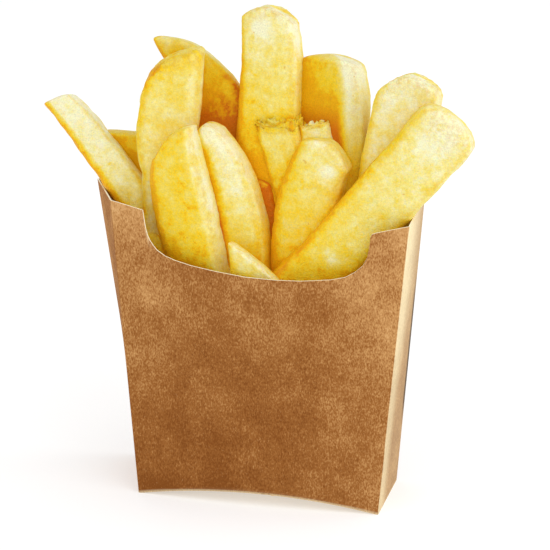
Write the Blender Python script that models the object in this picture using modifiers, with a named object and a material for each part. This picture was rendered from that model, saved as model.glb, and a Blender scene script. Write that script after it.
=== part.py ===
"""French fries standing in a folded kraft card carton.

Two nodes: the carton, one folded blank with a scooped front and a vaulted
bottom, and the fries, the fries that show fused onto a plain core that fills
the carton. Sizes in the tables are millimetres in the carton's own frame:
x runs along the front panel, y from front to back, z up from the table.
"""
import math

import bmesh
import bpy
from mathutils import Matrix, Vector

MM = 0.001

# The frame stands under the middle of the whole outline, not of the carton.
SHIFT_X = 6.5
SHIFT_Y = -1.5

# Rounding the bottom folds lifts the card off the table by this much.
FOLD_LIFT = 0.21

# Carton corners: sides, depths and heights of the base and the mouth.
BASE_LEFT_X = -37.7
BASE_RIGHT_X = 36.85
BASE_BACK_LEFT_X = -45.4
BASE_BACK_RIGHT_X = 36.5
BASE_FRONT_LEFT_Y = -16.0
BASE_FRONT_RIGHT_Y = -14.2
BASE_BACK_Y = 13.6
MOUTH_LEFT_X = -46.2
MOUTH_RIGHT_X = 44.9
MOUTH_BACK_LEFT_X = -60.2
MOUTH_BACK_RIGHT_X = 42.9
MOUTH_FRONT_Y = -12.4
MOUTH_BACK_Y = 18.5
FRONT_LEFT_HEIGHT = 92.1
FRONT_RIGHT_HEIGHT = 91.3
BACK_LEFT_HEIGHT = 88.6
BACK_RIGHT_HEIGHT = 90.7
BACK_ARCH = 3.0

# How far the panels bow out of flat, and the rise of the vaulted bottom.
FRONT_BOW_BASE = 2.0
FRONT_BOW_MOUTH = 5.2
BACK_BOW_BASE = 1.0
BACK_BOW_MOUTH = 1.5
BOTTOM_RISE = 4.2

CARD = 0.45
FOLD_RADIUS = 1.0
FOLD_ANGLE = 50.0
CARTON_CUTS = (15, 5, 7)

# The front cut-out, x and height, from the left corner along the dip to the right one.
SCOOP = (
    (-45.8, 92.1), (-40.0, 91.3), (-35.6, 90.6), (-35.1, 87.6), (-34.7, 85.1), (-34.1, 83.0),
    (-33.3, 81.4), (-32.3, 80.0), (-31.1, 78.7), (-28.5, 77.2), (-25.3, 76.2), (-20.5, 75.2),
    (-12.7, 74.2), (-3.5, 73.3), (5.6, 73.1), (13.1, 73.3), (22.0, 74.2), (26.4, 75.2),
    (29.3, 76.9), (31.6, 79.0), (32.7, 81.2), (33.3, 84.0), (33.6, 88.0), (34.0, 88.7),
    (35.4, 89.2), (39.2, 90.1), (44.6, 91.3),
)
SCOOP_TOP = 110.0
SCOOP_REACH = 50.0
SCOOP_END = 93.0
SCOOP_FRONT_Y = -30.0
SCOOP_DEPTH = 17.0

# Plain core under the fries: its gap to the card's inner face and its height.
CORE_GAP = 0.9
CORE_TOP = 62.0
CORE_BOTTOM = 8.0

# One fry a row, left to right and front to back. Spine points are foot, middle
# and tip; widths are taken there too. turn is degrees about the spine, slant
# how far the end runs up on the right, drops how far its left and right corners
# fall, ridge where across the front a ridge stands (-1 to 1) and its height,
# cap the length of the rounded end, and root how far the fry goes on below its foot.
FRIES = {
    "left_lean": dict(
        foot=(-41.4, 3.6, 85.6), middle=(-58.3, 9.6, 104.0), tip=(-69.8, 12.8, 114.7),
        widths=(11.6, 10.1, 7.9), thick=(10.5, 8.5), turn=-14, slant=-1.6,
        drops=(-0.4, 0.7), ridge=(-0.2, 0.6), cap=2.2, root=30),
    "left_back": dict(
        foot=(-45.8, 12.2, 88.0), middle=(-48.4, 13.0, 96.6), tip=(-49.6, 14.0, 104.8),
        widths=(14.0, 15.5, 16.0), thick=(8.5, 7.5), turn=0, slant=-0.4,
        drops=(0.0, 0.0), ridge=(0.0, 0.0), cap=1.6, root=34),
    "crescent_back": dict(
        foot=(-18.1, 11.4, 102.6), middle=(-20.2, 14.0, 115.7), tip=(-33.1, 16.4, 133.8),
        widths=(19.3, 18.7, 10.0), thick=(8.0, 6.8), turn=-10, slant=-4.9,
        drops=(-0.5, 1.6), ridge=(0.0, 0.0), cap=2.0, root=40),
    "left_tall": dict(
        foot=(-33.2, 2.0, 98.0), middle=(-32.6, 3.8, 112.8), tip=(-30.2, 5.5, 131.6),
        widths=(14.2, 18.5, 15.1), thick=(10.0, 8.0), turn=-12, slant=3.4,
        drops=(2.8, -0.5), ridge=(0.55, 1.4), cap=2.6, root=38),
    "front_left": dict(
        foot=(-20.5, -6.4, 73.6), middle=(-25.9, -6.8, 96.7), tip=(-27.1, -6.2, 112.1),
        widths=(18.1, 18.0, 11.0), thick=(8.5, 7.0), turn=2, slant=3.6,
        drops=(5.0, 0.2), ridge=(0.7, 2.2), cap=3.6, root=12),
    "middle_left": dict(
        foot=(-8.7, -1.0, 72.6), middle=(-11.7, 0.5, 93.6), tip=(-18.9, 2.0, 111.7),
        widths=(17.2, 15.4, 7.5), thick=(9.0, 7.5), turn=8, slant=-1.2,
        drops=(2.3, 1.6), ridge=(-0.5, 3.0), cap=3.8, root=18),
    "tall_middle": dict(
        foot=(-4.7, 9.0, 96.1), middle=(-2.7, 11.8, 125.3), tip=(-4.8, 15.2, 146.0),
        widths=(19.2, 18.4, 16.2), thick=(10.0, 8.5), turn=7, slant=0.2,
        drops=(0.5, 5.8), ridge=(0.0, 0.0), cap=3.2, root=36),
    "ragged_middle": dict(
        foot=(8.4, 5.1, 91.6), middle=(4.4, 5.7, 101.6), tip=(0.9, 6.3, 113.8),
        widths=(15.9, 13.1, 13.1), thick=(8.5, 7.5), turn=10, slant=-1.1,
        drops=(0.2, -0.3), ridge=(0.0, 0.0), cap=1.6, root=34),
    "stub_middle": dict(
        foot=(16.1, 6.4, 93.0), middle=(13.5, 7.0, 105.1), tip=(11.6, 7.6, 113.9),
        widths=(12.1, 10.6, 9.6), thick=(8.0, 7.0), turn=-6, slant=-0.2,
        drops=(0.4, -0.4), ridge=(0.0, 0.0), cap=1.6, root=34),
    "inner_middle": dict(
        foot=(-3.0, 3.4, 62.0), middle=(-3.8, 4.0, 80.0), tip=(-5.4, 4.8, 96.0),
        widths=(12.0, 11.0, 9.0), thick=(6.0, 5.5), turn=0, slant=-0.6,
        drops=(0.6, 0.6), ridge=(0.0, 0.0), cap=1.6, root=8),
    "right_shoulder": dict(
        foot=(15.4, 11.4, 99.6), middle=(15.0, 13.4, 118.0), tip=(14.9, 15.4, 132.2),
        widths=(23.6, 24.0, 19.4), thick=(9.5, 8.5), turn=12, slant=0.3,
        drops=(0.6, 2.0), ridge=(0.5, 2.2), cap=3.2, root=38),
    "front_right": dict(
        foot=(10.4, 0.6, 72.9), middle=(12.1, 1.4, 95.0), tip=(18.3, 2.0, 109.0),
        widths=(19.9, 18.3, 16.3), thick=(10.5, 8.0), turn=6, slant=0.1,
        drops=(5.1, 1.2), ridge=(-0.5, 1.0), cap=3.4, root=18),
    "right_lean": dict(
        foot=(28.3, 5.6, 83.3), middle=(36.4, 6.8, 108.4), tip=(40.6, 8.2, 129.6),
        widths=(9.2, 18.3, 18.5), thick=(10.0, 8.5), turn=6, slant=0.2,
        drops=(4.6, 3.2), ridge=(0.0, 0.0), cap=3.2, root=30),
    "right_big": dict(
        foot=(17.1, -5.6, 74.9), middle=(33.4, -4.4, 93.9), tip=(53.7, -3.0, 119.2),
        widths=(17.9, 19.2, 20.0), thick=(10.5, 9.0), turn=0, slant=0.2,
        drops=(1.2, 1.8), ridge=(0.0, 0.0), cap=4.4, root=16),
    "front_scrap": dict(
        foot=(0.0, -12.6, 61.4), middle=(-1.0, -12.8, 68.5), tip=(-1.6, -12.8, 76.6),
        widths=(15.5, 15.4, 15.2), thick=(5.0, 4.4), turn=0, slant=-6.0,
        drops=(0.1, 0.6), ridge=(0.0, 0.0), cap=1.2, root=8),
    "left_short": dict(
        foot=(-33.4, -5.4, 62.0), middle=(-35.0, -4.8, 70.5), tip=(-36.2, -4.2, 79.0),
        widths=(11.0, 11.0, 9.6), thick=(9.0, 8.0), turn=-4, slant=0.0,
        drops=(1.0, 1.0), ridge=(0.0, 0.0), cap=2.4, root=8),
    "right_short": dict(
        foot=(31.0, 2.6, 62.0), middle=(34.0, 3.0, 78.0), tip=(36.6, 3.6, 94.0),
        widths=(14.0, 13.0, 10.6), thick=(12.0, 10.0), turn=4, slant=1.0,
        drops=(1.4, 1.0), ridge=(0.0, 0.0), cap=3.0, root=8),
    "back_short": dict(
        foot=(29.0, 11.6, 62.0), middle=(27.4, 12.4, 80.0), tip=(26.0, 12.8, 97.0),
        widths=(13.0, 13.0, 10.6), thick=(8.0, 7.0), turn=4, slant=-0.8,
        drops=(1.0, 1.4), ridge=(0.0, 0.0), cap=2.6, root=8),
    "back_left_short": dict(
        foot=(-29.0, 12.0, 62.0), middle=(-31.0, 12.4, 76.0), tip=(-33.0, 12.8, 91.0),
        widths=(14.0, 13.0, 10.6), thick=(7.5, 7.0), turn=-4, slant=1.2,
        drops=(1.6, 0.8), ridge=(0.0, 0.0), cap=2.4, root=8),
    "front_right_short": dict(
        foot=(28.0, -6.6, 58.0), middle=(31.6, -6.4, 67.0), tip=(35.0, -6.0, 77.0),
        widths=(13.0, 12.6, 10.0), thick=(9.0, 8.0), turn=6, slant=0.6,
        drops=(1.0, 1.2), ridge=(0.0, 0.0), cap=2.4, root=6),
}
FRY_SIDES = 8
SECTION_WIDE = 0.95
SECTION_NARROW = 0.62
# Share of a fry's length at which its end starts to slant and drop.
LATE_START = 0.55
RING_STEPS = (0.0, 0.3, 0.62, 0.86)
END_RINGS = ((0.0, 1.0), (0.72, 0.72))

KRAFT = (0.34, 0.165, 0.072, 1.0)
POTATO = (0.80, 0.56, 0.16, 1.0)


def clear_scene():
    for obj in list(bpy.data.objects):
        bpy.data.objects.remove(obj, do_unlink=True)


def new_collection(name, hidden=False):
    col = bpy.data.collections.new(name)
    bpy.context.scene.collection.children.link(col)
    col.hide_render = hidden
    return col


def make_material(name, colour, roughness):
    mat = bpy.data.materials.new(name)
    mat.use_nodes = True
    shader = mat.node_tree.nodes["Principled BSDF"]
    shader.inputs["Base Color"].default_value = colour
    shader.inputs["Roughness"].default_value = roughness
    return mat


def mix(a, b, t):
    return a + (b - a) * t


def shell_point(across, deep, up):
    """Carton's outer face; across and deep run -1 to 1, up runs 0 to 1."""
    back = (deep + 1.0) / 2.0
    crown = 1.0 - across * across
    side = (across + 1.0) / 2.0
    base_front = mix(BASE_LEFT_X, BASE_RIGHT_X, side)
    base_back = mix(BASE_BACK_LEFT_X, BASE_BACK_RIGHT_X, side)
    mouth_front = mix(MOUTH_LEFT_X, MOUTH_RIGHT_X, side)
    mouth_back = mix(MOUTH_BACK_LEFT_X, MOUTH_BACK_RIGHT_X, side)
    x = mix(mix(base_front, base_back, back), mix(mouth_front, mouth_back, back), up)
    base_front_y = mix(BASE_FRONT_LEFT_Y, BASE_FRONT_RIGHT_Y, side)
    front_y = mix(base_front_y, MOUTH_FRONT_Y, up) - mix(FRONT_BOW_BASE, FRONT_BOW_MOUTH, up) * crown
    back_y = mix(BASE_BACK_Y, MOUTH_BACK_Y, up) + mix(BACK_BOW_BASE, BACK_BOW_MOUTH, up) * crown
    y = mix(front_y, back_y, back)
    back_top = mix(BACK_LEFT_HEIGHT, BACK_RIGHT_HEIGHT, side) + BACK_ARCH * crown
    top = mix(mix(FRONT_LEFT_HEIGHT, FRONT_RIGHT_HEIGHT, side), back_top, back)
    bottom = BOTTOM_RISE * crown
    return Vector((x, y, mix(bottom, top, up)))


def place(point):
    return Vector((point[0] + SHIFT_X, point[1] + SHIFT_Y, point[2] - FOLD_LIFT)) * MM


def add_object(name, bm, col, mat=None):
    mesh = bpy.data.meshes.new(name)
    bm.to_mesh(mesh)
    bm.free()
    obj = bpy.data.objects.new(name, mesh)
    col.objects.link(obj)
    if mat is not None:
        mesh.materials.append(mat)
    return obj


def unit_box(cuts):
    """A cube from -1 to 1 sliced into even strips along each axis."""
    bm = bmesh.new()
    bmesh.ops.create_cube(bm, size=2.0)
    for axis, count in enumerate(cuts):
        normal = [0.0, 0.0, 0.0]
        normal[axis] = 1.0
        for k in range(1, count + 1):
            at = [0.0, 0.0, 0.0]
            at[axis] = -1.0 + 2.0 * k / (count + 1)
            geom = bm.verts[:] + bm.edges[:] + bm.faces[:]
            bmesh.ops.bisect_plane(bm, geom=geom, plane_co=at, plane_no=normal, dist=1e-6)
    return bm


def scoop_cutter(col):
    """Everything of the front panel above the scooped lip, as one thick slab."""
    outline = [(-SCOOP_REACH, SCOOP_TOP), (-SCOOP_REACH, SCOOP_END), *SCOOP]
    outline += [(SCOOP_REACH, SCOOP_END), (SCOOP_REACH, SCOOP_TOP)]
    curve = bpy.data.curves.new("scoop_outline", "CURVE")
    curve.dimensions = "2D"
    curve.fill_mode = "BOTH"
    curve.extrude = SCOOP_DEPTH * MM / 2.0
    spline = curve.splines.new("POLY")
    spline.points.add(len(outline) - 1)
    for knot, (x, z) in zip(spline.points, outline):
        knot.co = ((x + SHIFT_X) * MM, (z - FOLD_LIFT) * MM, 0.0, 1.0)
    spline.use_cyclic_u = True
    flat = bpy.data.objects.new("scoop_outline", curve)
    mesh = bpy.data.meshes.new_from_object(flat)
    bpy.data.objects.remove(flat)
    middle_y = (SCOOP_FRONT_Y + SCOOP_DEPTH / 2.0 + SHIFT_Y) * MM
    for vert in mesh.vertices:
        x, z, y = vert.co
        vert.co = (x, middle_y - y, z)
    bm = bmesh.new()
    bm.from_mesh(mesh)
    bpy.data.meshes.remove(mesh)
    bmesh.ops.remove_doubles(bm, verts=bm.verts[:], dist=1e-6)
    bmesh.ops.recalc_face_normals(bm, faces=bm.faces[:])
    cutter = add_object("scoop_cutter", bm, col)
    cutter.display_type = "WIRE"
    cutter.hide_render = True
    return cutter


def make_carton(col, cutters, mat):
    bm = unit_box(CARTON_CUTS)
    lid = [f for f in bm.faces if f.normal.z > 0.9]
    bmesh.ops.delete(bm, geom=lid, context="FACES")
    for vert in bm.verts:
        across, deep, high = vert.co
        vert.co = place(shell_point(across, deep, (high + 1.0) / 2.0))
    carton = add_object("carton", bm, col, mat)
    folds = carton.modifiers.new("folds", "BEVEL")
    folds.width = FOLD_RADIUS * MM
    folds.segments = 2
    folds.limit_method = "ANGLE"
    folds.angle_limit = math.radians(FOLD_ANGLE)
    card = carton.modifiers.new("card", "SOLIDIFY")
    card.thickness = CARD * MM
    card.offset = -1.0
    card.use_even_offset = True
    cut = carton.modifiers.new("scoop", "BOOLEAN")
    cut.operation = "DIFFERENCE"
    cut.solver = "EXACT"
    cut.object = scoop_cutter(cutters)
    return carton


def make_core(col, mat):
    """Plain filling inside the card, well below the lip."""
    bm = unit_box((5, 1, 2))
    inset = CARD + CORE_GAP
    for vert in bm.verts:
        across, deep, high = vert.co
        z = mix(CORE_BOTTOM, CORE_TOP, (high + 1.0) / 2.0)
        wall = shell_point(across, deep, z / FRONT_LEFT_HEIGHT)
        half = max(abs(wall.x), 1.0)
        x = wall.x * (half - inset) / half
        vert.co = place((x, wall.y - deep * inset, z))
    return add_object("core", bm, col, mat)


def spine_at(fry, t):
    """Quadratic through foot, middle and tip, straight on below the foot."""
    foot = Vector(fry["foot"])
    middle = Vector(fry["middle"])
    tip = Vector(fry["tip"])
    bend = 2.0 * foot - 4.0 * middle + 2.0 * tip
    slope = 4.0 * middle - 3.0 * foot - tip
    s = max(t, 0.0)
    point = foot + slope * t if t < 0.0 else foot + slope * t + bend * t * t
    return point, (slope + 2.0 * bend * s).normalized()


def quadratic(values, t):
    a, b, c = values
    s = max(t, 0.0)
    return a + (4.0 * b - 3.0 * a - c) * s + (2.0 * a - 4.0 * b + 2.0 * c) * s * s


def fry_rings(fry):
    """Spine positions of the rings, with the size of each ring beside it."""
    length = (Vector(fry["tip"]) - Vector(fry["foot"])).length
    rings = [(-fry["root"] / length, 1.0)]
    rings += [(t, 1.0) for t in RING_STEPS]
    cap = fry["cap"] / length
    rings += [(1.0 - cap * 0.2 + cap * reach, size) for reach, size in END_RINGS]
    return rings


def tent(x, peak):
    """1 at the peak, falling in straight lines to 0 at -1 and 1."""
    reach = 1.0 + peak if x < peak else 1.0 - peak
    return max(1.0 - abs(x - peak) / reach, 0.0)


def fry_vertex(fry, t, size, wide, deep):
    """Point of the fry's skin; wide runs left to right, deep from back to front."""
    point, along = spine_at(fry, t)
    ahead = Vector((0.0, -1.0, 0.0))
    face = (ahead - along * ahead.dot(along)).normalized()
    side = along.cross(face)
    turn = math.radians(fry["turn"])
    right = side * math.cos(turn) + face * math.sin(turn)
    front = face * math.cos(turn) - side * math.sin(turn)
    half_width = quadratic(fry["widths"], min(t, 1.0)) / 2.0
    half_thick = mix(fry["thick"][0], fry["thick"][1], min(max(t, 0.0), 1.0)) / 2.0
    late = min(max((t - LATE_START) / (1.0 - LATE_START), 0.0), 1.0)
    drop = fry["drops"][0 if wide < 0.0 else 1] * wide * wide
    lift = (fry["slant"] * wide - drop) * size * late * late
    peak, height = fry["ridge"]
    bulge = height * tent(wide, peak) * max(deep, 0.0)
    point = point + right * (half_width * wide * size)
    point = point + front * ((half_thick * deep + bulge) * size)
    return point + along * lift


def make_fry(name, fry, col):
    rings = fry_rings(fry)
    bm = bmesh.new()
    bmesh.ops.create_cone(bm, cap_ends=True, segments=FRY_SIDES, radius1=1.0, radius2=1.0, depth=2.0)
    half_step = Matrix.Rotation(math.pi / FRY_SIDES, 3, "Z")
    bmesh.ops.rotate(bm, verts=bm.verts[:], cent=(0.0, 0.0, 0.0), matrix=half_step)
    last = len(rings) - 1
    for k in range(1, last):
        geom = bm.verts[:] + bm.edges[:] + bm.faces[:]
        at = (0.0, 0.0, -1.0 + 2.0 * k / last)
        bmesh.ops.bisect_plane(bm, geom=geom, plane_co=at, plane_no=(0.0, 0.0, 1.0), dist=1e-6)
    for vert in bm.verts:
        t, size = rings[round((vert.co.z + 1.0) / 2.0 * last)]
        long_side = abs(vert.co.x) > abs(vert.co.y)
        wide = (1.0 if long_side else SECTION_NARROW) * math.copysign(1.0, vert.co.x)
        deep = (SECTION_NARROW if long_side else SECTION_WIDE) * math.copysign(1.0, vert.co.y)
        peak, height = fry["ridge"]
        if height > 0.0 and not long_side and deep > 0.0 and wide * peak > 0.0:
            wide = peak
        vert.co = place(fry_vertex(fry, t, size, wide, deep))
    bmesh.ops.recalc_face_normals(bm, faces=bm.faces[:])
    return add_object(name, bm, col)


def keep_outer_skin(mesh):
    """Keep the largest shell, so that sealed hollows are filled and loose scraps dropped."""
    bm = bmesh.new()
    bm.from_mesh(mesh)
    unseen = set(bm.verts)
    shells = []
    while unseen:
        shell = []
        queue = [unseen.pop()]
        while queue:
            vert = queue.pop()
            shell.append(vert)
            for edge in vert.link_edges:
                other = edge.other_vert(vert)
                if other in unseen:
                    unseen.remove(other)
                    queue.append(other)
        shells.append(shell)
    shells.sort(key=len)
    for shell in shells[:-1]:
        bmesh.ops.delete(bm, geom=shell, context="VERTS")
    bm.to_mesh(mesh)
    bm.free()


def make_fries(col, mat):
    """Core and fries joined into one closed body."""
    loose = bpy.data.collections.new("loose_fries")
    bpy.context.scene.collection.children.link(loose)
    for name, fry in FRIES.items():
        make_fry(name, fry, loose)
    fries = make_core(col, mat)
    fries.name = "fries"
    join = fries.modifiers.new("heap", "BOOLEAN")
    join.operation = "UNION"
    join.solver = "EXACT"
    join.operand_type = "COLLECTION"
    join.collection = loose
    joined = fries.evaluated_get(bpy.context.evaluated_depsgraph_get())
    mesh = bpy.data.meshes.new_from_object(joined)
    keep_outer_skin(mesh)
    fries.modifiers.clear()
    old = fries.data
    fries.data = mesh
    bpy.data.meshes.remove(old)
    mesh.name = "fries"
    for obj in list(loose.objects):
        bpy.data.objects.remove(obj, do_unlink=True)
    bpy.data.collections.remove(loose)
    return fries


def main():
    clear_scene()
    parts = new_collection("french_fries_in_a_carton")
    cutters = new_collection("cutters", hidden=True)
    make_carton(parts, cutters, make_material("kraft_card", KRAFT, 0.85))
    make_fries(parts, make_material("fried_potato", POTATO, 0.55))


main()
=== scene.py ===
"""Looks for the french fries in a kraft card carton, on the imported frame."""
import math

import bmesh
import bpy
from mathutils import Matrix, Vector, noise
from mathutils.bvhtree import BVHTree


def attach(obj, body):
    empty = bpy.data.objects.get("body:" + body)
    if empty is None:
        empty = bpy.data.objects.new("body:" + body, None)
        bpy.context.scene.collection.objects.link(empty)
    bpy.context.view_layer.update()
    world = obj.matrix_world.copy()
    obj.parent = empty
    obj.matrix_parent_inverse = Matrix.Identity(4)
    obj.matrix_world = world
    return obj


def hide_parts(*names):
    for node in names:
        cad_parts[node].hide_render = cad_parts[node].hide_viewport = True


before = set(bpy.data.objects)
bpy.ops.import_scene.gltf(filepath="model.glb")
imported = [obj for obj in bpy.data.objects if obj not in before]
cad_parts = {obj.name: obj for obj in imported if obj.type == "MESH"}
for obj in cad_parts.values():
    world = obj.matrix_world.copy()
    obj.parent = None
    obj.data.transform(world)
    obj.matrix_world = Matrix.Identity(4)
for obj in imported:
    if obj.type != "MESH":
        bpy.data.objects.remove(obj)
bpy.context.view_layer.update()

MM = 0.001

# Sizes are in millimetres, in the carton's own frame, as in the CAD. place() brings them to the scene.
SHIFT_X = 6.5
SHIFT_Y = -1.5
FOLD_LIFT = 0.21

BASE_LEFT_X = -37.7
BASE_RIGHT_X = 36.85
BASE_BACK_LEFT_X = -45.4
BASE_BACK_RIGHT_X = 36.5
BASE_FRONT_LEFT_Y = -16.0
BASE_FRONT_RIGHT_Y = -14.2
BASE_BACK_Y = 13.6
MOUTH_LEFT_X = -46.2
MOUTH_RIGHT_X = 44.9
MOUTH_BACK_LEFT_X = -60.2
MOUTH_BACK_RIGHT_X = 42.9
MOUTH_FRONT_Y = -12.4
MOUTH_BACK_Y = 18.5
FRONT_LEFT_HEIGHT = 92.1
FRONT_RIGHT_HEIGHT = 91.3
BACK_LEFT_HEIGHT = 88.6
BACK_RIGHT_HEIGHT = 90.7
BACK_ARCH = 3.0
FRONT_BOW_BASE = 2.0
FRONT_BOW_MOUTH = 5.2
BACK_BOW_BASE = 1.0
BACK_BOW_MOUTH = 1.5
BOTTOM_RISE = 4.2
CARD = 0.45
FOLD_RADIUS = 1.0
FOLD_SEGMENTS = 4
FOLD_ANGLE = 50.0
SHARP_ANGLE = 40.0
CUT_STEP = 0.06
FRONT_DEEP = -0.999
RIPPLE_SCALE = 0.035
RIPPLE_HEIGHT = 0.28
# The card's painted light and shade: its level, and how it goes with place over the front.
PAINTED_LIGHT_LEVEL = -0.05
PAINTED_LIGHT_X = 0.10
PAINTED_LIGHT_XX = 0.24
PAINTED_LIGHT_Z = 0.38
PAINTED_LIGHT_XZ = -0.18
PAINTED_SHADE_LOW = -0.08
PAINTED_LIGHT_RIGHT_SIDE = 0.02
PAINTED_LIGHT_LEFT_SIDE = 0.14
# Rubbed bottom edge, and a painted highlight on the right side, palest along its front fold and towards its
# top.
RUB = 0.6
RUB_HEIGHT = 1.0
PAINTED_HIGHLIGHT = 0.28
HIGHLIGHT_STRIPE = 0.58
HIGHLIGHT_TOP = 0.14
# The painted shadow along the right side's rear fold, where it turns away: its depth, and where it fades on
# both sides.
FOLD_SHADOW = 0.9
FOLD_SHADOW_NEAR = 1.8
FOLD_SHADOW_FAR = 4.2
# The front lip from left to right, as x and height.
SCOOP = (
    (-45.8, 92.1), (-40.0, 91.3), (-35.6, 90.6), (-35.1, 87.6), (-34.7, 85.1), (-34.1, 83.0),
    (-33.3, 81.4), (-32.3, 80.0), (-31.1, 78.7), (-28.5, 77.2), (-25.3, 76.2), (-20.5, 75.2),
    (-12.7, 74.2), (-3.5, 73.3), (5.6, 73.1), (13.1, 73.3), (22.0, 74.2), (26.4, 75.2),
    (29.3, 76.9), (31.6, 79.0), (32.7, 81.2), (33.3, 84.0), (33.6, 88.0), (34.0, 88.7),
    (35.4, 89.2), (39.2, 90.1), (44.6, 91.3),
)
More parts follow.
